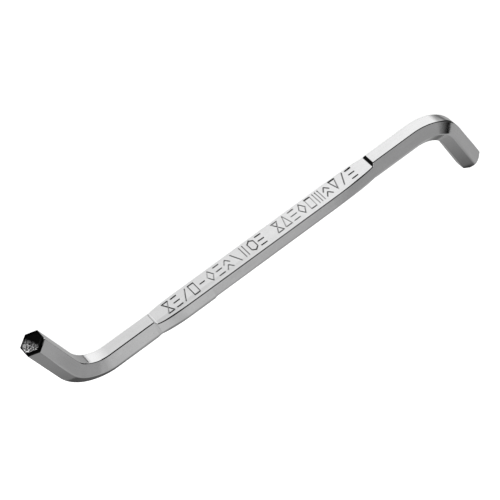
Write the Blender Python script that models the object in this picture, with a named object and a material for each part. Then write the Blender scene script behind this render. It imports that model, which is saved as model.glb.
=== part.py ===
"""Offset hexagon key: one length of hexagonal steel bar, bent at both ends.

Both ends are bent to the same radius, in one plane and in opposite directions.
Each leg leans a little way out from square, so the key has the outline of a
stretched Z.  The middle of the bar is pressed between two flat dies: two
opposite flats sink, the sides bulge out, and a short ramp is left at each end
of the pressed panel.

Frame: origin at the middle of the bar, +X along the bar, legs in the XY plane.
The pressed flats face +Y and -Y, and the swollen sides face +Z and -Z.  The key
is the same after half a turn about Z.  All dimensions are metres.
"""

from math import cos, exp, radians, sin, sqrt

import bmesh
import bpy

NAME = "offset_hex_key"

# ---------------------------------------------------------------- bar stock
ACROSS_FLATS = 0.00635        # hexagon, flat to flat: quarter-inch bar
HALF_FLATS = ACROSS_FLATS / 2.0
CORNER = ACROSS_FLATS / sqrt(3.0)         # centre of the bar to a sharp corner
FLAT_HALF_WIDTH = CORNER / 2.0            # half width of one sharp-edged flat
EDGE_RADIUS = 0.00028         # rolled corner of the bar stock
EDGE_HALF_ANGLE = radians(30.0)           # each rolled corner turns twice this
EDGE_INSET = EDGE_RADIUS / cos(EDGE_HALF_ANGLE)   # sharp corner to arc centre
EDGE_POINTS = 3               # points round one rolled corner

# ------------------------------------------------------------ bends and legs
STRAIGHT = 0.1035             # straight bar between the two bends
HALF_STRAIGHT = STRAIGHT / 2.0
BEND_RADIUS = 0.0125          # centreline radius of both bends
LEG_LEAN = 17.0               # degrees each leg leans out from square
BEND_ANGLE = radians(90.0 - LEG_LEAN)
BEND_SEGMENTS = 14            # facets along one bend
LEG = 0.0161                  # straight length of each leg, bend to end face
END_CHAMFER = 0.00020         # broken edge round each end face

# ------------------------------------------------------------- pressed panel
PANEL_LENGTH = 0.0750         # over its ramps
PANEL_RAMP = 0.00065          # length of the ramp at each end
PANEL_END = PANEL_LENGTH / 2.0            # middle of the bar to a ramp's outer end
PANEL_INNER = PANEL_END - PANEL_RAMP      # middle of the bar to a ramp's inner end
PANEL_DEPTH = 0.00080         # how far each pressed flat sinks
PANEL_END_HALF_WIDTH = 0.00236    # half width of the pressed flat at its ends
PANEL_HALF_WIDTH = 0.00313    # half width it widens towards, further in
PANEL_SPREAD = 0.0030         # decay length of that widening

SIDE_BULGE = 0.00098          # how far the side corners move out
SIDE_BLEND = 0.0140           # length over which the sides swell
SIDE_OVERRUN = SIDE_BLEND / 6.0   # how far the swelling starts beyond the panel
SIDE_LAND = 0.00050           # width of the narrow flat along each swollen side

BLEND_STEPS = 8               # rings along the blend, inward from the ramp
BLEND_CROWDING = 1.5          # power that crowds those rings near the ramp

# Rolled corner at the crest of a side: half its width, and how far its outer
# points lie below the sharp corner, as a share of CORNER.
CREST_HALF = EDGE_RADIUS * sin(EDGE_HALF_ANGLE)
CREST_DROP = (EDGE_INSET - EDGE_RADIUS * cos(EDGE_HALF_ANGLE)) / CORNER
CREST_LIMIT = 1.5 * CREST_HALF / HALF_FLATS   # share of HALF_FLATS; crest is inside

# -------------------------------------------------------------------- finish
WELD = 0.00001                # vertices closer than this are merged
SHARP_ANGLE = radians(28.0)   # edges turning more than this stay sharp
STEEL_COLOUR = (0.62, 0.62, 0.62, 1.0)
STEEL_ROUGHNESS = 0.3


def start_empty():
    for obj in list(bpy.data.objects):
        bpy.data.objects.remove(obj, do_unlink=True)
    for collection in list(bpy.data.collections):
        bpy.data.collections.remove(collection)


# ------------------------------------------------------------ swept hexagon
# Curve points are (x, y, radius); along a swept path the radius scales the section.

def hexagon_outline():
    """Section of the bar: corners up and down, flats to left and right."""
    points = []
    for k in range(6):
        middle = radians(90.0 + 60.0 * k)
        centre_x = (CORNER - EDGE_INSET) * cos(middle)
        centre_y = (CORNER - EDGE_INSET) * sin(middle)
        for j in range(EDGE_POINTS):
            angle = middle + EDGE_HALF_ANGLE * (2.0 * j / (EDGE_POINTS - 1) - 1.0)
            points.append((centre_x + EDGE_RADIUS * cos(angle),
                           centre_y + EDGE_RADIUS * sin(angle), 1.0))
    return points


def panel_stations():
    """Distances from the middle of the bar that need a ring, outermost first."""
    blend = [PANEL_INNER - SIDE_BLEND * (k / BLEND_STEPS) ** BLEND_CROWDING
             for k in range(1, BLEND_STEPS + 1)]
    return [PANEL_END + SIDE_OVERRUN, PANEL_END + SIDE_OVERRUN / 2.0,
            PANEL_END, PANEL_INNER, *blend, blend[-1] / 2.0]


def centreline():
    """Points along the bar from one end face to the other.

    The leg at the +X end points to -Y, and the leg at the -X end points to +Y.
    """
    side = [(x, 0.0, 1.0) for x in reversed(panel_stations())]
    for k in range(BEND_SEGMENTS + 1):
        angle = BEND_ANGLE * k / BEND_SEGMENTS
        side.append((HALF_STRAIGHT + BEND_RADIUS * sin(angle),
                     -BEND_RADIUS * (1.0 - cos(angle)), 1.0))
    bend_x, bend_y, _ = side[-1]
    for reach, scale in ((LEG - END_CHAMFER, 1.0),
                         (LEG, 1.0 - END_CHAMFER / HALF_FLATS)):
        side.append((bend_x + reach * cos(BEND_ANGLE),
                     bend_y - reach * sin(BEND_ANGLE), scale))
    other = [(-x, -y, scale) for x, y, scale in reversed(side)]
    return other + [(0.0, 0.0, 1.0)] + side


def poly_curve(name, points, cyclic):
    curve = bpy.data.curves.new(name, "CURVE")
    curve.dimensions = "3D"
    curve.twist_mode = "Z_UP"
    spline = curve.splines.new("POLY")
    spline.points.add(len(points) - 1)
    for point, (x, y, radius) in zip(spline.points, points):
        point.co = (x, y, 0.0, 1.0)
        point.radius = radius
    spline.use_cyclic_u = cyclic
    obj = bpy.data.objects.new(name, curve)
    bpy.context.scene.collection.objects.link(obj)
    return obj


def weld(mesh):
    """Join the end caps to the sweep and turn all faces outward."""
    bm = bmesh.new()
    bm.from_mesh(mesh)
    bmesh.ops.remove_doubles(bm, verts=bm.verts, dist=WELD)
    bmesh.ops.recalc_face_normals(bm, faces=bm.faces)
    bm.to_mesh(mesh)
    bm.free()


def swept_bar(collection):
    """Sweep the hexagon along the centreline and make the result one mesh."""
    section = poly_curve("bar_section", hexagon_outline(), cyclic=True)
    path = poly_curve("bar_centreline", centreline(), cyclic=False)
    path.data.bevel_mode = "OBJECT"
    path.data.bevel_object = section
    path.data.use_fill_caps = True
    bpy.context.view_layer.update()

    graph = bpy.context.evaluated_depsgraph_get()
    mesh = bpy.data.meshes.new_from_object(path.evaluated_get(graph))
    mesh.name = NAME
    bar = bpy.data.objects.new("hex_key_bar", mesh)
    collection.objects.link(bar)
    for guide in (path, section):
        bpy.data.objects.remove(guide, do_unlink=True)
    weld(mesh)
    return bar


# ------------------------------------------------------------- pressed panel

def clamp(value):
    return min(1.0, max(0.0, value))


def smooth(value):
    """Ease from 0 to 1 with level ends."""
    value = clamp(value)
    return value * value * (3.0 - 2.0 * value)


def flat_half_width(distance, sink):
    """Half width of the flats facing +Y and -Y, before the land is formed."""
    if distance < PANEL_INNER:
        narrowing = exp(-(PANEL_INNER - distance) / PANEL_SPREAD)
        return PANEL_HALF_WIDTH - (PANEL_HALF_WIDTH - PANEL_END_HALF_WIDTH) * narrowing
    return (FLAT_HALF_WIDTH
            + (PANEL_END_HALF_WIDTH - FLAT_HALF_WIDTH) * sink / PANEL_DEPTH)


def press_point(co):
    """Move one point of the straight bar to the shape the two flat dies leave."""
    distance = abs(co.x)
    sink = PANEL_DEPTH * clamp((PANEL_END - distance) / PANEL_RAMP)
    swell = smooth((PANEL_END + SIDE_OVERRUN - distance) / SIDE_BLEND)
    side = CORNER + SIDE_BULGE * swell
    pressed_share = (HALF_FLATS - sink) / HALF_FLATS

    # Stretch in Z, blended from the crest of a side (0) to a pressed flat (1).
    part = min(1.0, abs(co.y) / HALF_FLATS)
    edge_stretch = flat_half_width(distance, sink) / FLAT_HALF_WIDTH
    co.z *= (side / CORNER) * (1.0 - part) + edge_stretch * part
    co.y *= pressed_share

    # The rolled corner at the crest of each side spreads into a narrow flat.
    if part < CREST_LIMIT:
        level = side * (1.0 - CREST_DROP)
        if abs(co.z) > level:
            co.z += swell * ((level if co.z > 0.0 else -level) - co.z)
        land_stretch = 0.5 * SIDE_LAND / (CREST_HALF * pressed_share)
        co.y *= 1.0 + swell * (land_stretch - 1.0)


def press_panel(mesh):
    for vertex in mesh.vertices:
        if abs(vertex.co.x) <= HALF_STRAIGHT:
            press_point(vertex.co)
    mesh.update()


# -------------------------------------------------------------------- finish

def plated_steel():
    material = bpy.data.materials.new("plated_steel")
    material.use_nodes = True
    inputs = material.node_tree.nodes["Principled BSDF"].inputs
    inputs["Base Color"].default_value = STEEL_COLOUR
    inputs["Metallic"].default_value = 1.0
    inputs["Roughness"].default_value = STEEL_ROUGHNESS
    material.diffuse_color = STEEL_COLOUR
    return material


def build():
    start_empty()
    parts = bpy.data.collections.new(NAME)
    bpy.context.scene.collection.children.link(parts)
    mesh = swept_bar(parts).data
    press_panel(mesh)
    mesh.materials.append(plated_steel())
    mesh.shade_smooth()
    mesh.set_sharp_from_angle(angle=SHARP_ANGLE)


build()
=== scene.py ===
"""Offset hexagon key: finished surface, studio and camera.

The key lies in the XY plane with its straight bar along X.  The +X leg bends
towards -Y and the -X leg towards +Y.  The marked flat faces -Y on the straight bar,
and a corner ridge runs along the top (+Z) and the bottom.  The +X end is sheared,
the -X end is deburred.

A ring of the skin is made of (out, up) points: out towards the marked side, up
along +Z.  Rings are placed by their distance along the centreline, 0 at the middle
of the bar and negative towards the -X end.  The key is worked out in millimetres
and its mesh made in metres.  The studio is in metres.
"""

import math
from types import SimpleNamespace

import bpy
import numpy as np
from mathutils import Matrix, Vector, noise


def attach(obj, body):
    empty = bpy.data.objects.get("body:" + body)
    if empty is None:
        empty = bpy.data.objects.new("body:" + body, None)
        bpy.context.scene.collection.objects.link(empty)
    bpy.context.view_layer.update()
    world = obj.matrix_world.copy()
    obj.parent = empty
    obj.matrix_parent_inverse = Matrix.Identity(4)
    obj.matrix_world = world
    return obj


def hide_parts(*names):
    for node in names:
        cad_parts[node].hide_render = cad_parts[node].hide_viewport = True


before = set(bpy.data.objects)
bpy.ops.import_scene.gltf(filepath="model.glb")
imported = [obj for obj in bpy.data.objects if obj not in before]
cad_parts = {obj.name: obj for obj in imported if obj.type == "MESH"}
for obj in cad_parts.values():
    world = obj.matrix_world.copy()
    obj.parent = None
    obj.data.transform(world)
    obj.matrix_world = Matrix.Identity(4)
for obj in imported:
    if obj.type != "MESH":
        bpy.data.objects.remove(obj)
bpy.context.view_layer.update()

# ---------------------------------------------------------- bar dimensions, mm
ACROSS_FLATS = 6.35
TO_FLAT = ACROSS_FLATS / 2.0                # centre to flat
TO_CORNER = ACROSS_FLATS / math.sqrt(3.0)   # centre to sharp corner
HALF_FLAT = TO_CORNER / 2.0                 # half the width of one flat
HALF_BAR = 51.75                            # half of the straight bar
BEND_RADIUS = 12.5                          # on the centreline
BEND_ANGLE = math.radians(73.0)
LEG = 16.1
BEND_END = HALF_BAR + BEND_RADIUS * BEND_ANGLE
TIP = BEND_END + LEG                        # centreline distance to an end face

PANEL = 37.5                                # half length of the pressed panel
PANEL_RAMP = 0.65
PANEL_FLOOR = PANEL - PANEL_RAMP            # half length between its ramps
SINK = 0.80                                 # depth of the panel on either flat
BULGE = 0.98                                # swelling of the top and bottom ridges

# Half width of a pressed flat, from its middle up or down to a corner:
# (away from the panel's ends, at its ends)
MARKED_UP, MARKED_DOWN = (3.24, 2.36), (2.90, 2.32)
PLAIN_UP, PLAIN_DOWN = (3.02, 2.32), (3.08, 2.32)

MARK_BAND = (-2.24, 2.20)                   # heights that carry the marks
MARK_STEP = 0.09                            # mesh spacing over the marks
ARC_POINTS = 5                              # points round each rolled corner


# ----------------------------------------------------------------- bar shape
def smooth(t):
    t = np.clip(t, 0.0, 1.0)
    return t * t * (3.0 - 2.0 * t)


def plateau(value, start, rise, end, fall):
    """0 outside start..end and 1 between, over the lengths rise and fall."""
    return smooth((value - start) / rise) * smooth((end - value) / fall)


def hump(value, start, end):
    """Smooth bump, 0 outside start..end and 1 in the middle."""
    t = (value - start) / (end - start)
    return math.sin(math.pi * t) ** 2 if 0.0 < t < 1.0 else 0.0


def turned(along):
    """Angle the centreline has turned through."""
    return min(max((abs(along) - HALF_BAR) / BEND_RADIUS, 0.0), BEND_ANGLE)


def centreline(along):
    """Centre of the section, its normal on the marked side and its tangent."""
    sign = -1.0 if along < 0.0 else 1.0
    distance = abs(along)
    angle = turned(along)
    leg = max(distance - BEND_END, 0.0)
    x = min(distance, HALF_BAR) + BEND_RADIUS * math.sin(angle)
    y = -BEND_RADIUS * (1.0 - math.cos(angle))
    x += leg * math.cos(BEND_ANGLE)
    y -= leg * math.sin(BEND_ANGLE)
    centre = np.array([sign * x, sign * y, 0.0])
    normal = np.array([-math.sin(angle), -math.cos(angle), 0.0])
    tangent = np.array([math.cos(angle), -math.sin(angle), 0.0])
    return centre, normal, tangent


def section_corners(along):
    """Six corners of the section as (out, up), and how far its ridges are swollen."""
    distance = abs(along)
    sheared_half = along > 0.0

    # pressed panel
    sink = SINK * float(np.clip((PANEL - distance) / PANEL_RAMP, 0.0, 1.0))
    edges = (MARKED_UP, MARKED_DOWN, PLAIN_UP, PLAIN_DOWN)
    if distance < PANEL_FLOOR:
        fade = math.exp(-(PANEL_FLOOR - distance) / (2.3 if sheared_half else 4.0))
        widths = [middle - (middle - end) * fade for middle, end in edges]
    else:
        widths = [HALF_FLAT + (end - HALF_FLAT) * (sink / SINK) for _, end in edges]
    marked_up, marked_down, plain_up, plain_down = widths
    swell = float(smooth((PANEL + 2.3 - distance) / (13.0 if sheared_half else 18.0)))
    top = bottom = TO_CORNER + BULGE * swell

    # a stretch of the upper plain edge is squeezed out further
    squeezed = float(plateau(along, start=18.8, rise=0.8, end=36.5, fall=8.0))
    plain_up += 0.28 * squeezed
    top += 0.05 * squeezed
    # so is the stretch from the panel into the +X bend
    full = float(plateau(along, start=37.2, rise=1.2, end=58.0, fall=6.0))
    plain_up += 0.13 * full
    top += 0.13 * full

    # the bends flatten the section very slightly
    angle = turned(along)
    bend = math.sin(math.pi * angle / BEND_ANGLE) if 0.0 < angle < BEND_ANGLE else 0.0
    pinch = 1.0 - 0.012 * bend
    spread = 1.0 + 0.006 * bend
    # the -X leg stands out on the marked side
    flare = 0.30 * float(smooth((-along - 66.0) / 17.0))
    # the top ridge leans to the plain side past the +X bend
    lean = -0.28 * float(plateau(along, start=57.0, rise=7.0, end=81.0, fall=9.0))
    # the upper edge of the marked flat is drawn out around the end of the -X bend
    drawn = 0.34 * float(plateau(-along, start=59.5, rise=3.0, end=66.2, fall=3.5))

    flat = TO_FLAT - sink
    return [
        (flat * pinch + flare, -marked_down * spread),
        (flat * pinch + flare + 0.866 * drawn, marked_up * spread - 0.5 * drawn),
        (lean, top * spread),
        (-flat * pinch, plain_up * spread),
        (-flat * pinch, -plain_down * spread),
        (0.0, -bottom * spread),
    ], swell


def fillet(before, corner, after, radius):
    """Points of an arc that rounds a corner."""
    before, corner, after = (np.array(p, float) for p in (before, corner, after))
    side_in = (corner - before) / np.linalg.norm(corner - before)
    side_out = (after - corner) / np.linalg.norm(after - corner)
    normal_in = np.array([side_in[1], -side_in[0]])
    normal_out = np.array([side_out[1], -side_out[0]])
    cosine = float(normal_in @ normal_out)
    centre = corner - radius * (normal_in + normal_out) / (1.0 + cosine)
    angle = math.acos(max(-1.0, min(1.0, cosine)))
    arc = []
    for k in range(ARC_POINTS):
        t = k / (ARC_POINTS - 1)
        weight_in = math.sin((1.0 - t) * angle) / math.sin(angle)
        weight_out = math.sin(t * angle) / math.sin(angle)
        arc.append(centre + radius * (weight_in * normal_in + weight_out * normal_out))
    return arc


def marked_flat_fractions():
    """Where the points of the marked flat sit between its two rolled edges."""
    low, high = -MARKED_DOWN[0] + 0.16, MARKED_UP[0] - 0.25
    band_low, band_high = MARK_BAND
    heights = np.concatenate([
        [low + 0.05, 0.5 * (low + band_low)],
        np.arange(band_low, band_high + 1e-6, MARK_STEP),
        np.linspace(band_high, high, 5)[1:-1],
        [high - 0.05],
    ])
    return (heights - low) / (high - low)


MARKED_FRACTIONS = marked_flat_fractions()
PLAIN_FRACTIONS = (0.02, 0.35, 0.65, 0.98)
FLANK_FRACTIONS = (0.03, 0.5, 0.97)
# points along each flat, in ring order from the lower marked corner
FLAT_FRACTIONS = [MARKED_FRACTIONS, FLANK_FRACTIONS, FLANK_FRACTIONS,
                  PLAIN_FRACTIONS, FLANK_FRACTIONS, FLANK_FRACTIONS]
# ring points of the marked flat, with the rolled-edge point on either side
MARKED_FLAT = slice(ARC_POINTS - 1, ARC_POINTS + len(MARKED_FRACTIONS) + 1)


def section(along):
    """Ring of (out, up) points, and how much each point is on a rolled edge."""
    corners, swell = section_corners(along)
    # radius of the upper marked corner, which changes along the bar
    soft = (0.34 + 0.05 * float(smooth((along + 12.0) / 24.0))
            + 0.06 * float(smooth((along - 37.0) / 2.0)))
    soft += 0.16 * hump(abs(along), 26.0, 37.2) + 0.26 * hump(-along, 57.0, 68.0)
    # radius of the top ridge, worn on the -X leg
    worn = 0.34 + 0.96 * float(smooth((-along - 61.0) / 6.0))
    radii = [0.26, soft, worn, 0.30, 0.26, 0.30]
    arcs = [fillet(corners[k - 1], corners[k], corners[(k + 1) % 6], radii[k])
            for k in range(6)]
    for k in (2, 5):                     # narrow flat along the swollen ridges
        level = abs(corners[k][1]) - 0.135 * swell
        for point in arcs[k]:
            if abs(point[1]) > level:
                point[1] += swell * (math.copysign(level, point[1]) - point[1])
    ring, edge = [], []
    for k, fractions in enumerate(FLAT_FRACTIONS):
        start, end = arcs[k][-1], arcs[(k + 1) % 6][0]
        ring += arcs[k]
        edge += [math.sin(math.pi * j / (ARC_POINTS - 1)) for j in range(ARC_POINTS)]
        ring += [start * (1.0 - t) + end * t for t in fractions]
        edge += [0.0] * len(fractions)
    return np.array(ring), np.array(edge)


# --------------------------------------------------------------- struck marks
def polyline(points, closed=False):
    ends = points[1:] + (points[:1] if closed else [])
    return list(zip(points, ends))


# Strokes of each shape, from point to point, mm about the shape's centre
SHAPES = {
    "hexagon": polyline([(-1.02, -1.15), (-1.02, 1.15), (0.0, 1.92),
                         (1.02, 1.15), (1.02, -1.15), (0.0, -1.92)], True),
    "levels": [((-0.9, y), (0.9, y)) for y in (-1.75, 0.0, 1.75)],
    "slope": [((-0.85, -1.8), (0.85, 1.8))],
    "rails": [((x, -1.85), (x, 1.85)) for x in (-0.5, 0.5)],
    "diamond": polyline([(-1.0, 0.0), (0.0, 1.85), (1.0, 0.0), (0.0, -1.85)], True),
    "dash": [((-0.75, 0.0), (0.75, 0.0))],
    "roofs": polyline([(-0.95, -1.75), (0.0, -0.45), (0.95, -1.75)])
             + polyline([(-0.95, 0.25), (0.0, 1.55), (0.95, 0.25)]),
    "fall": [((-0.85, 1.8), (0.85, -1.8))],
    "peak": polyline([(-1.0, -1.8), (0.0, 1.85), (1.0, -1.8)], True),
    "valley": polyline([(-1.0, 1.85), (0.0, -1.8), (1.0, 1.85)], True),
    "hourglass": polyline([(-0.95, 1.85), (0.95, 1.85), (-0.95, -1.85), (0.95, -1.85)], True),
    "fence": [((x, -1.85), (x, 1.85)) for x in (-0.9, 0.0, 0.9)],
    "plate": polyline([(-0.9, -1.85), (-0.9, 1.85), (0.9, 1.85), (0.9, -1.85)], True),
}
# The row from its +X end: (shape, weight of the strike); None is a gap
ROW = [
    ("hourglass", 0.88), ("levels", 0.95), ("slope", 1.0), ("plate", 0.96),
    ("dash", 0.80), ("diamond", 0.48), ("levels", 0.48), ("roofs", 0.46),
    ("fall", 0.56), ("rails", 0.76), ("hexagon", 0.90), ("levels", 1.0),
    (None, 0.0), ("hourglass", 0.44), ("peak", 0.40), ("levels", 0.36),
    ("diamond", 0.40), ("plate", 0.54), ("fence", 0.64), ("roofs", 0.76),
    ("valley", 0.66), ("slope", 0.80), ("levels", 0.95),
]
ROW_START, ROW_PITCH, ROW_HEIGHT = 31.75, 2.865, -0.05
STROKE_HALF_WIDTH, STROKE_DEPTH = 0.158, 0.19


def row_marks():
    """Number, place along the bar, shape and weight of each mark."""
    return [(k, ROW_START - ROW_PITCH * k, SHAPES[name], weight)
            for k, (name, weight) in enumerate(ROW) if name]


def row_strokes():
    """Each stroke as its two (along, up) ends and its weight, slightly uneven."""
    strokes = []
    for k, middle, shape, weight in row_marks():
        tilt = 0.03 * math.sin(2.1 * k + 0.4)
        lift = 0.05 * math.sin(1.3 * k + 1.0) + 0.012 * k
        cosine, sine = math.cos(tilt), math.sin(tilt)
        for stroke in shape:
            start, end = (
                (middle - (cosine * x - sine * y),
                 ROW_HEIGHT - (sine * x + cosine * y + lift)) for x, y in stroke)
            strokes.append((start, end, weight))
    return strokes


STROKES = row_strokes()


def mark_depth(along, up):
    """Depth of the marks at heights up, with raised lips, and a 0..1 stroke mask."""
    depth = np.zeros_like(up)
    mask = np.zeros_like(up)
    lip = np.zeros_like(up)
    for (x0, y0), (x1, y1), weight in STROKES:
        if not min(x0, x1) - 0.8 < along < max(x0, x1) + 0.8:
            continue
        dx, dy = x1 - x0, y1 - y0
        t = np.clip(((along - x0) * dx + (up - y0) * dy) / (dx * dx + dy * dy), 0.0, 1.0)
        away = np.hypot(along - x0 - t * dx, up - y0 - t * dy) / STROKE_HALF_WIDTH
        bowl = (1.0 - np.clip(away, 0, 1) ** 2) ** 1.5
        depth = np.maximum(depth, STROKE_DEPTH * (0.30 + 0.70 * weight) * bowl)
        mask = np.maximum(mask, weight ** 1.6 * np.clip(1.15 - away, 0.0, 1.0))
        lip = np.maximum(lip, weight * np.exp(-((away - 1.35) / 0.35) ** 2))
    return depth - 0.014 * lip * (depth < 1e-4), mask


# ------------------------------------------------------------------ stations
# Stretches of either half of the bar: (start, end, greatest ring spacing)
STRETCHES = [
    (TIP - 2.2, TIP - 0.9, 0.22),
    (BEND_END, TIP - 2.2, 1.6),
    (HALF_BAR, BEND_END, 0.42),
    (PANEL + 2.4, HALF_BAR, 1.6),
    (PANEL + 0.25, PANEL + 2.4, 0.4),
    (PANEL + 0.25, PANEL - 0.10, 0.07),
    (PANEL_FLOOR + 0.10, PANEL_FLOOR - 0.30, 0.08),
    (PANEL - 0.10, PANEL_FLOOR + 0.10, 0.12),
    (PANEL_FLOOR - 0.30, 33.0, 0.33),
]
SQUEEZE_START = (17.6, 20.8, 0.35)       # where the plain edge starts to swell
PANEL_MIDDLE = (-33.0, 33.0, 1.2)
LEAST_SPACING = 0.055


def stations():
    """Places along the bar that get a ring, close together where shape changes."""
    spans = [(sign * start, sign * end, step)
             for sign in (-1.0, 1.0) for start, end, step in STRETCHES]
    spans.append(SQUEEZE_START)
    for _, middle, shape, _ in row_marks():
        wide = max(abs(x) for stroke in shape for x, _ in stroke) + 0.38
        spans.append((middle - wide, middle + wide, MARK_STEP))
    spans.append(PANEL_MIDDLE)
    places = []
    for start, end, step in spans:
        count = max(1, int(math.ceil(abs(end - start) / step)))
        places.extend(np.linspace(start, end, count + 1))
    places.sort()
    keep = [places[0]]
    for place in places[1:]:
        if place - keep[-1] > LEAST_SPACING:
            keep.append(place)
    # the end pieces bring their own rings
    return [place for place in keep if -(TIP - 1.15) < place < TIP - 1.1]


# ---------------------------------------------------------------------- skin
def ring_noise(ring, scale, layer, octaves, shift=0.0):
    """Fractal noise at each point of a ring."""
    values = []
    for out, up in ring:
        point = Vector((out * scale + shift, up * scale, layer))
        total = size = 0.0
        for octave in range(octaves):
            factor = 2.0 ** octave
            total += noise.noise(point * factor) / factor
            size += 1.0 / factor
        values.append(total / size)
    return np.array(values)


def polar_angle(ring):
    """Angle of each point in degrees: 0 at the marked side, 90 at the top."""
    return np.degrees(np.arctan2(ring[:, 1], ring[:, 0]))


def shrink(ring, by):
    """Ring with each point moved towards the centre."""
    return ring * (1.0 - by[:, None] / np.linalg.norm(ring, axis=1, keepdims=True))


class Skin:
    """Rings of the key and their attributes, added from the -X end to the +X end."""

    def __init__(self):
        self.rings, self.flow = [], []
        self.fields = {name: [] for name in ("mark", "edge", "cut", "step")}

    def add(self, along, ring, edge, lift=0.0, cut=0.0, mark=0.0, flow_along=None):
        """Place a ring; lift moves its points along the tangent."""
        count = len(ring)
        centre, normal, tangent = centreline(along)
        self.rings.append(centre + ring[:, :1] * normal
                          + ring[:, 1:] * np.array([0.0, 0.0, 1.0])
                          + np.broadcast_to(lift, count)[:, None] * tangent)
        # ramp of the panel on the marked flat, which gets painted shade
        foot = PANEL_FLOOR - 0.18 if along < 0.0 else PANEL_FLOOR + 0.36
        step = np.zeros(count)
        step[MARKED_FLAT] = plateau(abs(along), start=foot, rise=0.14,
                                    end=PANEL + 0.10, fall=0.12)
        for name, values in (("mark", mark), ("edge", edge), ("cut", cut), ("step", step)):
            self.fields[name].append(np.broadcast_to(values, count))
        where = along if flow_along is None else flow_along
        self.flow.append(np.column_stack([np.zeros(count) + where, ring]))

    def make_object(self, name):
        """Mesh object of the rings, closed by a fan to a centre point at each end."""
        number, count = len(self.rings), len(self.rings[0])
        points = np.concatenate(self.rings)
        first = np.arange(count)
        last = (number - 1) * count + first
        following = (first + 1) % count
        pole = len(points)
        points = np.vstack([points, points[first].mean(0), points[last].mean(0)])

        base = np.arange(number - 1)[:, None] * count
        quads = np.stack([base + first, base + count + first,
                          base + count + following, base + following], axis=-1)
        start_fan = np.column_stack([np.full(count, pole), first, following])
        end_fan = np.column_stack([np.full(count, pole + 1), last[following], last])
        faces = quads.reshape(-1, 4).tolist() + start_fan.tolist() + end_fan.tolist()

        mesh = bpy.data.meshes.new(name)
        mesh.from_pydata((points * 0.001).tolist(), [], faces)
        mesh.validate(clean_customdata=False)
        for field, rows in self.fields.items():
            at_poles = 1.0 if field == "cut" else 0.0
            values = np.concatenate(rows + [[at_poles, at_poles]])
            layer = mesh.attributes.new(field, "FLOAT", "POINT")
            layer.data.foreach_set("value", np.ascontiguousarray(values, np.float32))
        flow = np.concatenate(self.flow + [[[-TIP - 3.0, 0.0, 0.0], [TIP + 3.0, 0.0, 0.0]]])
        layer = mesh.attributes.new("flow", "FLOAT_VECTOR", "POINT")
        layer.data.foreach_set("vector", np.ascontiguousarray(flow, np.float32).ravel())
        mesh.shade_smooth()
        mesh.update()
        obj = bpy.data.objects.new(name, mesh)
        bpy.context.scene.collection.objects.link(obj)
        return obj


CROWN = 3.02                # radius of the round face of the deburred end
CROWN_REACH = 0.66          # how far the face stands beyond the tip
CHAMFER_SLOPE = 1.15
CROWN_SCALES = (0.06, 0.25, 0.45, 0.62, 0.76, 0.87, 0.94, 0.975)


def add_deburred_end(skin):
    """-X end: turned chamfer, so the flats stand further out than the corners."""
    ring, edge = section(-TIP)
    radius = np.linalg.norm(ring, axis=1)
    for scale in CROWN_SCALES:
        face = ring * (scale * CROWN / radius)[:, None]
        wobble = 0.025 * ring_noise(face, scale=1.7, layer=3.0, octaves=4)
        skin.add(-TIP, face, edge=0.0, lift=-(CROWN_REACH + wobble), cut=0.35,
                 flow_along=-TIP - 0.3)

    # cut back further at the top of the plain side
    heel = 0.50 * smooth(1.0 - np.abs(polar_angle(ring) - 125.0) / 70.0)
    chamfer = [(CROWN / radius, CROWN_REACH - 0.02)]
    for t in (0.12, 0.5, 0.86):
        r = CROWN + t * (radius - CROWN)
        chamfer.append((r / radius,
                        CROWN_REACH - CHAMFER_SLOPE * (r - CROWN) - 0.01 - t * heel))
    back = CHAMFER_SLOPE * (radius - CROWN) + heel
    chamfer.append((1.0 - 0.02 / radius, CROWN_REACH - back - 0.05))
    for behind in (0.13, 0.30):
        chamfer.append((np.ones(len(ring)), CROWN_REACH - back - behind))
    for scale, reach in chamfer:
        skin.add(-TIP, ring * scale[:, None], np.maximum(edge, 0.5), lift=-reach, cut=0.06)


def add_bar(skin):
    for along in stations():
        ring, edge = section(along)
        mark = np.zeros(len(ring))
        if abs(along) < PANEL_FLOOR - 0.1:
            depth, mark[MARKED_FLAT] = mark_depth(along, ring[MARKED_FLAT, 1])
            ring[MARKED_FLAT, 0] -= depth
        skin.add(along, ring, edge, mark=mark)


EDGE_STEPS = 8
RIM_SETBACKS = (0.95, 0.80, 0.70, 0.62, 0.55, 0.49)
FACE_SCALES = (0.985, 0.95, 0.90, 0.85, 0.79, 0.73, 0.67, 0.61, 0.55, 0.48, 0.41,
               0.34, 0.27, 0.20, 0.13, 0.06)


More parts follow.
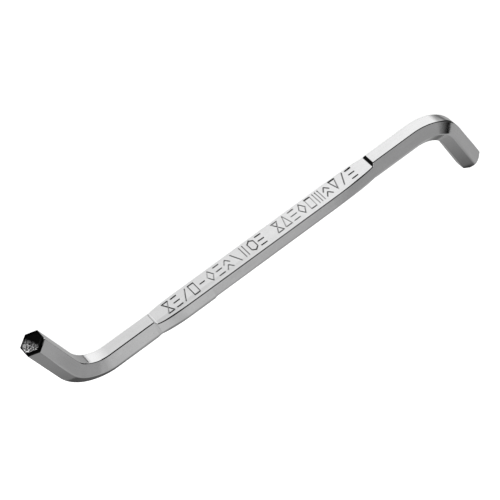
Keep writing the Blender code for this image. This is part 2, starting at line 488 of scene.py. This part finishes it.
def add_sheared_end(skin):
    """+X end: rolled over on the upper flanks, crisp below, torn across the face."""
    ring, edge = section(TIP - 1.0)
    polar = polar_angle(ring)
    roll = plateau(polar, start=12.0, rise=16.0, end=168.0, fall=16.0)
    width = 0.10 + 0.80 * roll
    depth = 0.10 + 0.34 * roll

    # a torn patch reaches over the rim at the top of the marked side
    tooth = np.exp(-((polar - 31.0) / 9.0) ** 2)
    chips = ring_noise(ring, scale=1.9, layer=2.0, octaves=3, shift=7.0)
    for setback in RIM_SETBACKS:
        torn = tooth * (0.55 - (setback - 0.44) / 0.30) + 0.5 * chips * tooth
        skin.add(TIP - setback, ring, edge, cut=smooth((torn - 0.40) / 0.2))

    # quarter-ellipse roll from the flank to the face
    for k in range(EDGE_STEPS + 1):
        share = k / EDGE_STEPS
        angle = share * math.pi / 2.0
        skin.add(TIP, shrink(ring, width * (1.0 - math.cos(angle))), edge * 0.3,
                 lift=-(depth * (1.0 - math.sin(angle))),
                 cut=smooth((share - 0.45 * tooth) / 0.10),
                 flow_along=TIP + 0.8 * (1.0 - smooth(roll / 0.3)))

    # sunken face, rougher towards the plain side
    outer = shrink(ring, width)
    for scale in FACE_SCALES:
        face = outer * scale
        torn = smooth((0.55 - face[:, 0]) / 1.6)
        rough = ring_noise(face, scale=2.2, layer=1.0, octaves=5)
        fine = ring_noise(face, scale=6.0, layer=9.0, octaves=3)
        well = smooth((1.0 - scale) / 0.18)
        lift = (-0.12 * well + well * (0.04 + 0.30 * torn) * rough
                + 0.08 * torn * well * fine)
        skin.add(TIP, face, edge=0.0, lift=lift, cut=1.0,
                 flow_along=TIP + 0.3 + (1.0 - scale) * 3.0)


def build_key():
    skin = Skin()
    add_deburred_end(skin)
    add_bar(skin)
    add_sheared_end(skin)
    return skin.make_object("hex_key_skin")


# ---------------------------------------------------------------- node helpers
class Signal:
    """Node output that takes part in arithmetic; each operation adds a Math node."""

    def __init__(self, tree, socket):
        self.tree, self.socket = tree, socket

    def math(self, operation, *values, clamp=False):
        return signal(self.tree, "ShaderNodeMath", inputs=dict(enumerate(values)),
                      operation=operation, use_clamp=clamp)

    def __add__(self, other):
        return self.math("ADD", self, other)

    def __radd__(self, other):
        return self.math("ADD", other, self)

    def __sub__(self, other):
        return self.math("SUBTRACT", self, other)

    def __rsub__(self, other):
        return self.math("SUBTRACT", other, self)

    def __mul__(self, other):
        return self.math("MULTIPLY", self, other)

    def __truediv__(self, other):
        return self.math("DIVIDE", self, other)

    def __abs__(self):
        return self.math("ABSOLUTE", self)


def add_node(tree, kind, inputs=None, **settings):
    """New node; an input is given a Signal to link or a plain value."""
    node = tree.nodes.new(kind)
    for key, value in settings.items():
        setattr(node, key, value)
    for key, value in (inputs or {}).items():
        if isinstance(value, Signal):
            tree.links.new(value.socket, node.inputs[key])
        else:
            node.inputs[key].default_value = value
    return node


def signals(tree, kind, outputs, inputs=None, **settings):
    """Several outputs of one new node."""
    node = add_node(tree, kind, inputs, **settings)
    return [Signal(tree, node.outputs[key]) for key in outputs]


def signal(tree, kind, output=0, inputs=None, **settings):
    return signals(tree, kind, [output], inputs, **settings)[0]


def split(vector):
    return signals(vector.tree, "ShaderNodeSeparateXYZ", "XYZ", {0: vector})


def mix(amount, start, end):
    """start where amount is 0, end where it is 1."""
    return signal(amount.tree, "ShaderNodeMix", inputs={0: amount, 2: start, 3: end},
                  data_type="FLOAT")


def ramp(value, over, to=(0.0, 1.0), linear=False):
    """Clamped map of value, from the range over to the range to."""
    return signal(value.tree, "ShaderNodeMapRange", "Result",
                  {"Value": value, "From Min": over[0], "From Max": over[1],
                   "To Min": to[0], "To Max": to[1]},
                  interpolation_type="LINEAR" if linear else "SMOOTHSTEP", clamp=True)


def flow_noise(flow, stretch, detail, roughness, offset=0.0):
    """Noise in key coordinates; stretch is its frequency along, out and up, per mm."""
    place = signal(flow.tree, "ShaderNodeMapping", "Vector",
                   {"Vector": flow, "Scale": stretch,
                    "Location": (offset, offset * 0.7, offset * 1.3)})
    return signal(flow.tree, "ShaderNodeTexNoise", "Fac",
                  {"Vector": place, "Scale": 1.0, "Detail": detail,
                   "Roughness": roughness}, noise_dimensions="3D")


def grey(tree, values):
    return signal(tree, "ShaderNodeCombineColor", inputs=dict(enumerate(values)))


def new_material(name):
    material = bpy.data.materials.new(name)
    material.use_nodes = True
    material.node_tree.nodes.clear()
    return material, material.node_tree


# --------------------------------------------------------------- plated steel
def steel_fields(tree):
    """Mesh attributes and the noises shared by tone, roughness and bump."""
    def attribute(name, output="Fac"):
        return signal(tree, "ShaderNodeAttribute", output,
                      attribute_type="GEOMETRY", attribute_name=name)

    flow = attribute("flow", "Vector")
    key = SimpleNamespace(flow=flow)
    key.mark, key.edge, key.cut, key.step = map(attribute, ("mark", "edge", "cut", "step"))
    key.along, key.out, key.up = split(flow)
    # drawing lines run with the bar, round its bends
    key.lines = flow_noise(flow, stretch=(0.035, 9.0, 9.0), detail=4.0, roughness=0.6)
    key.hair = flow_noise(flow, stretch=(0.12, 38.0, 38.0), detail=3.0, roughness=0.65,
                          offset=3.0)
    key.cloud = flow_noise(flow, stretch=(0.10, 0.35, 0.35), detail=3.0, roughness=0.5,
                           offset=11.0)
    key.mottle = flow_noise(flow, stretch=(0.9, 0.9, 0.9), detail=4.0, roughness=0.6,
                            offset=5.0)
    pits = flow_noise(flow, stretch=(3.2, 3.2, 3.2), detail=2.0, roughness=0.5, offset=21.0)
    key.pits = ramp(pits, over=(0.70, 0.78))
    # painted shade in the strokes, uneven along them
    stroke_shade_noise = flow_noise(flow, stretch=(1.6, 1.6, 1.6), detail=3.0, roughness=0.6, offset=40.0)
    hollow_shade = ramp(stroke_shade_noise, over=(0.25, 0.65), to=(0.72, 1.0))
    key.held = key.mark.math("MULTIPLY", key.mark, hollow_shade, clamp=True)
    return key


def plating_tone(key):
    """Bright, neutral and a little cloudy, with painted shade in the marks and on the panel's
    ramps.
    """
    tone = 0.620 + (key.cloud - 0.5) * 0.10
    tone = tone + (key.mottle - 0.5) * 0.05
    tone = tone + (key.lines - 0.5) * 0.06
    tone = tone - key.pits * 0.12
    # painted shade: the strokes darkened towards 0.09
    tone = mix(key.held, tone, 0.09)
    # painted shade on the panel's ramp walls, full at the -X ramp, about half at the +X ramp
    return mix(key.step * ramp(key.along, over=(20.0, -30.0), to=(0.48, 1.0)), tone, 0.03)


def leg_painted_light(key):
    """Painted light and shade: tone factor on the upper plain-side flank of both legs."""
    flank = (ramp(key.out, over=(0.25, -0.55))
             * ramp(key.up, over=(1.2, 1.8)))
    # painted light and shade, lighter and darker along each leg
    flank_light = ramp(key.along, over=(60.0, 82.0), to=(0.80, 1.17))
    flank_light = flank_light * ramp(key.along, over=(-83.0, -64.0), to=(0.58, 1.30), linear=True)
    # brings the rise at the -X leg back down, then evens out the +X leg's 0.80
    flank_light = flank_light / (1.0 + ramp(key.along, over=(50.0, -60.0), to=(1.0, 0.0)) * 0.30)
    flank_light = flank_light * ramp(key.along, over=(50.0, -60.0), to=(1.0, 1.0 / 0.80))
    # painted shade: darker at the deburred end, more so towards the plain flat
    flank_light = mix(ramp(key.out, over=(-0.2, -1.8), to=(0.35, 1.0)), flank_light,
                flank_light * ramp(key.along, over=(-84.0, -81.4), to=(0.22, 1.0)))
    legs = ramp(abs(key.along), over=(58.0, 66.0))
    return mix(flank * legs, 1.0, flank_light)


def darkened_patches(key, tone):
    """Tone with darker patches on the marked side: painted shade on the +X leg's upper flank
    and along the upper edge of the marked flat, and a darker stretch where the +X bend
    starts.
    """
    # painted shade on the upper flank, on the +X leg
    flank = (ramp(key.out, over=(-0.10, 0.30))
             * ramp(key.up, over=(1.2, 1.8)))
    leg_shade = (ramp(key.along, over=(61.0, 66.0), to=(0.0, 0.125))
            * ramp(key.along, over=(71.0, 81.0), to=(1.0, 0.0)))
    tone = tone * (1.0 - flank * leg_shade)
    # painted shade along the upper edge of the marked flat, towards the sheared end
    hem = (ramp(key.out, over=(2.0, 2.3))
           * ramp(key.up, over=(0.95, 1.55)))
    hem = hem * ramp(key.up, over=(1.9, 2.8), to=(1.0, 0.55))
    hem = hem * ramp(key.along, over=(-4.0, 25.0), to=(0.0, 0.15), linear=True)
    hem = hem * ramp(key.along, over=(36.4, 36.9), to=(1.0, 0.0))
    tone = tone * (1.0 - hem)
    # darker on the upper flank where the +X bend starts
    bend_start_dark = (ramp(key.along, over=(49.5, 54.0), to=(0.0, 0.14))
              * ramp(key.along, over=(54.8, 57.6), to=(1.0, 0.0)))
    bend_start_dark = bend_start_dark * ramp(key.up, over=(1.65, 1.90))
    return tone * (1.0 - flank * bend_start_dark)


def end_faces(key):
    """Tone of the cut ends: the sheared face near black, with painted glints of torn steel
    over one side of it.
    """
    torn = flow_noise(key.flow, stretch=(0.4, 3.1, 2.2), detail=5.0, roughness=0.62,
                      offset=60.0)
    slant = key.out - key.up * 0.36
    side = ramp(slant, over=(0.55, -1.9), linear=True)
    # painted glints: bright spots in the tone of the sheared face
    glint = ramp(torn, over=(0.45, 0.56)) * side
    sheared = ramp(key.along, over=(70.0, 82.0))
    glint = glint * ramp(key.along, over=(TIP + 0.42, TIP + 0.62))
    return mix(sheared, 0.30, mix(glint, 0.003, 0.96)), glint


def steel_roughness(key, glint):
    rough = 0.105 + (key.hair - 0.5) * 0.10
    rough = rough + (key.cloud - 0.5) * 0.08
    rough = rough - key.edge * 0.03
    # rougher where the strokes and ramp walls carry painted shade
    hollow_shade = key.held.math("MAXIMUM", key.held, key.step)
    rough = mix(hollow_shade, rough, 0.42)
    return mix(key.cut, rough, mix(glint, 0.48, 0.32))


def steel_normal(tree, key):
    """Fine bump of the drawing lines under a coarser mottle; distances in metres."""
    height = key.lines * 0.5 + key.hair * 0.18
    height = height - key.pits * 0.5
    fine = signal(tree, "ShaderNodeBump",
                  inputs={"Strength": 0.10, "Distance": 0.00004, "Height": height})
    return signal(tree, "ShaderNodeBump",
                  inputs={"Strength": 0.12, "Distance": 0.00010, "Height": key.mottle,
                          "Normal": fine})


def plated_steel():
    material, tree = new_material("plated_steel_finish")
    key = steel_fields(tree)
    # painted light and shade on the legs, then darker patches on the marked side
    tone = darkened_patches(key, plating_tone(key) * leg_painted_light(key))
    face, glint = end_faces(key)
    tone = mix(key.cut, tone, face)
    tint = (1.0, 1.0, 1.004)             # a trace of blue
    shader = signal(tree, "ShaderNodeBsdfPrincipled", inputs={
        "Base Color": grey(tree, [tone * gain for gain in tint]),
        "Metallic": 1.0,
        "Roughness": steel_roughness(key, glint),
        "Normal": steel_normal(tree, key),
    })
    add_node(tree, "ShaderNodeOutputMaterial", {0: shader})
    return material


# ------------------------------------------------------------ studio, in metres
def lobe(direction, centre, inner, outer):
    """1 within inner degrees of the direction centre, 0 beyond outer degrees."""
    dot = signal(direction.tree, "ShaderNodeVectorMath", "Value",
                 {0: direction, 1: Vector(centre).normalized()}, operation="DOT_PRODUCT")
    return ramp(dot, over=(math.cos(math.radians(outer)), math.cos(math.radians(inner))))


def studio_world():
    """Grey room with panels and dark areas, plain white to the camera."""
    world = bpy.data.worlds.new("studio")
    bpy.context.scene.world = world
    world.use_nodes = True
    tree = world.node_tree
    tree.nodes.clear()
    direction = signal(tree, "ShaderNodeTexCoord", "Generated")
    x, y, z = split(direction)

    light = 0.44
    # large low panels: beyond the key, and towards -X
    light = mix(lobe(direction, (0.257, 0.926, 0.276), inner=16.0, outer=28.0), light, 0.29)
    light = mix(lobe(direction, (-0.71, 0.63, 0.31), inner=18.0, outer=30.0), light, 0.50)
    # low band on the -X side of the second panel, fading to black towards +Y
    band = ramp(y, over=(0.100, 0.200)) * ramp(y, over=(0.418, 0.400))
    low = ramp(z, over=(0.740, 0.680)) * ramp(x, over=(-0.700, -0.725))
    deep = ramp(y, over=(0.130, 0.335), to=(0.35, 0.0), linear=True)
    light = mix(band * low, light, deep)
    light = mix(lobe(direction, (-0.96, 0.06, 0.20), inner=16.0, outer=24.0), light, 0.05)
    # the dark side of the room, behind and beside the camera
    light = mix(lobe(direction, (-0.17, -0.94, 0.26), inner=34.0, outer=42.0), light, 0.02)
    light = mix(lobe(direction, (-0.70, -0.68, 0.20), inner=32.0, outer=40.0), light, 0.03)

    light = mix(signal(tree, "ShaderNodeLightPath", "Is Camera Ray"), light, 1.0)
    back = signal(tree, "ShaderNodeBackground",
                  inputs={"Color": (1.0, 1.0, 1.0, 1.0), "Strength": light})
    add_node(tree, "ShaderNodeOutputWorld", {0: back})


def left_box():
    """Square area light on the +X side, left of the camera, aimed at the origin."""
    data = bpy.data.lights.new("left_box", "AREA")
    data.shape = "RECTANGLE"
    data.size = data.size_y = 0.40
    data.energy = 2.2
    light = bpy.data.objects.new("left_box", data)
    bpy.context.scene.collection.objects.link(light)
    direction = Vector((0.80, -0.38, 0.46)).normalized()
    light.location = direction * 0.75
    light.rotation_euler = (-direction).to_track_quat("-Z", "Y").to_euler()


def add_sheet(name, corners):
    mesh = bpy.data.meshes.new(name)
    mesh.from_pydata(corners, [], [(0, 1, 2, 3)])
    sheet = bpy.data.objects.new(name, mesh)
    bpy.context.scene.collection.objects.link(sheet)
    return sheet


def softbox_cloth():
    """Glow in patches across the sheet, by position."""
    material, tree = new_material("softbox_cloth")
    x, y, _ = split(signal(tree, "ShaderNodeNewGeometry", "Position"))
    # dimmer towards -X, with a dip over the middle
    level = ramp(x, over=(-0.157, -0.045), to=(0.55, 0.775), linear=True)
    level = mix(ramp(x, over=(-0.036, -0.002)), level, 0.655)
    level = mix(ramp(x, over=(0.018, 0.045)), level, 0.77)
    # dimmer -X part away from the camera's side
    level = mix(ramp(y, over=(-0.060, -0.048)) * ramp(x, over=(-0.015, -0.045)),
                level, 0.60)
    # +Y part
    level = mix(ramp(y, over=(0.15, 0.30)), level, 0.51)
    # corner at -X, -Y
    corner = ramp(x, over=(-0.156, -0.158)) * ramp(y, over=(-0.050, -0.058))
    level = mix(corner, level, 0.44)
    glow = signal(tree, "ShaderNodeEmission", inputs={"Strength": level})
    add_node(tree, "ShaderNodeOutputMaterial", {0: glow})
    return material


def overhead_box():
    """Softbox sheet above the key, ending in a straight edge at -X."""
    x0, x1, y0, y1, z = -0.175, 0.250, -0.370, 0.750, 0.470
    card = add_sheet("overhead_box", [(x0, y0, z), (x0, y1, z), (x1, y1, z), (x1, y0, z)])
    card.visible_camera = False
    card.visible_diffuse = False
    card.visible_shadow = False
    card.data.materials.append(softbox_cloth())


def floor_reflection(geometry_position, geometry_incoming):
    """Painted reflection: glow that reflections see, by place on the floor and direction of
    the ray.
    """
    place_x = split(geometry_position)[0]
    dx, dy, dz = (axis * -1.0 for axis in split(geometry_incoming))
    # floor zones by X: the -X half, and the part under the +X bend
    far = ramp(place_x, over=(0.02, -0.02))
    bend = ramp(place_x, over=(0.040, 0.053))

    # painted reflection of a lit sheet, brighter for rays that lean to -X
    strip = ramp(dx, over=(-0.11, -0.33), to=(1.00, 1.38), linear=True)
    strip = mix(ramp(dx, over=(-0.34, -0.60)), strip, 1.40)
    strip = mix(ramp(place_x, over=(0.044, 0.049)), strip,
                ramp(dx, over=(-0.12, -0.65), to=(1.03, 1.40), linear=True))
    # as rays turn to +Y: the painted sheet's edge, a painted dark gap, then grey
    turn = dy - ramp(place_x, over=(0.02, -0.02), to=(0.0, 0.11))
    strip = mix(ramp(turn, over=(-0.130, -0.110)), strip, 1.12)
    strip = mix(mix(far, ramp(turn, over=(-0.010, 0.012)),
                    ramp(turn, over=(-0.240, 0.070), linear=True)),
                strip, mix(far, 0.10, 0.22))
    past = mix(far, ramp(turn, over=(0.060, 0.085)), ramp(turn, over=(0.170, 0.300)))
    short_of_bend = ramp(place_x, over=(0.046, 0.040))
    middle = far.math("SUBTRACT", short_of_bend, far, clamp=True)
    strip = mix(past, strip, mix(middle, 0.47, 0.95))

    # rays that run far to +Y
    behind = mix(ramp(dx, over=(-0.30, -0.15)), 0.45,
                 mix(far, mix(bend, 0.25, 0.11), 0.18))
    behind = mix(ramp(dz, over=(-0.30, -0.36)) * ramp(dx, over=(-0.30, -0.15)),
                 behind, mix(bend, 0.32, 0.10))
    strip = mix(ramp(dy, over=(0.70, 0.82)), strip, behind)
    # dark for shallow rays to -Y, shallow rays to -X, and rays to +X
    shallow = ramp(dz, over=(-0.50, -0.44)) * far.math(
        "MAXIMUM", far, ramp(dx, over=(-0.66, -0.58)))
    strip = mix(shallow * ramp(dy, over=(0.1, -0.1)), strip, 0.02)
    aside = ramp(dz, over=(-0.52, -0.40)) * far
    strip = mix(aside * ramp(dx, over=(-0.70, -0.80)), strip, 0.04)
    return mix(ramp(dx, over=(0.50, 0.62)), strip, 0.02)


def pale_floor():
    """White floor that shows a painted reflection pattern to glossy rays only."""
    white = 0.86
    material, tree = new_material("pale_floor")
    camera_ray, glossy_ray = signals(tree, "ShaderNodeLightPath",
                                     ("Is Camera Ray", "Is Glossy Ray"))
    strip = floor_reflection(*signals(tree, "ShaderNodeNewGeometry",
                                      ("Position", "Incoming")))
    level = mix(glossy_ray, mix(camera_ray, 0.28, 0.85), strip)
    glow = signal(tree, "ShaderNodeEmission",
                  inputs={"Color": (1.0, 1.0, 1.0, 1.0), "Strength": level})
    shade = grey(tree, [mix(glossy_ray, white, 0.0) for _ in range(3)])
    diffuse = add_node(tree, "ShaderNodeBsdfDiffuse", {"Color": (white, white, white, 1.0)})
    tree.links.new(shade.socket, diffuse.inputs["Color"])
    both = signal(tree, "ShaderNodeAddShader",
                  inputs={0: Signal(tree, diffuse.outputs[0]), 1: glow})
    add_node(tree, "ShaderNodeOutputMaterial", {0: both})
    return material


def studio_floor(level):
    s = 6.0                              # half side
    floor = add_sheet("studio_floor", [(-s, -s, 0), (s, -s, 0), (s, s, 0), (-s, s, 0)])
    floor.location = (0.0, 0.0, level)
    floor.data.materials.append(pale_floor())


def camera():
    data = bpy.data.cameras.new("view")
    data.sensor_width = 36.0             # mm
    data.lens = 141.0336                 # mm
    data.clip_start, data.clip_end = 0.01, 50.0
    data.shift_x, data.shift_y = -0.0007, -0.0003
    view = bpy.data.objects.new("view", data)
    bpy.context.scene.collection.objects.link(view)
    right = Vector((-0.7880, 0.2129, 0.5777)).normalized()
    back = Vector((0.2182, -0.7809, 0.5853)).normalized()
    up = back.cross(right).normalized()
    right = up.cross(back).normalized()  # squared up to the other two
    turn = Matrix((right, up, back)).transposed()
    place = Matrix.Translation((0.11964, -0.41476, 0.30965))
    view.matrix_world = place @ turn.to_4x4()
    bpy.context.scene.camera = view


# ----------------------------------------------------------------------- make
key_skin = build_key()
key_skin.data.materials.append(plated_steel())
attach(key_skin, "root")
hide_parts("hex_key_bar")

FLOOR_GAP = 0.00002
studio_floor(min(v.co.z for v in key_skin.data.vertices) - FLOOR_GAP)
studio_world()
left_box()
overhead_box()
camera()
bpy.context.scene.view_settings.view_transform = "Standard"
bpy.context.scene.view_settings.look = "None"
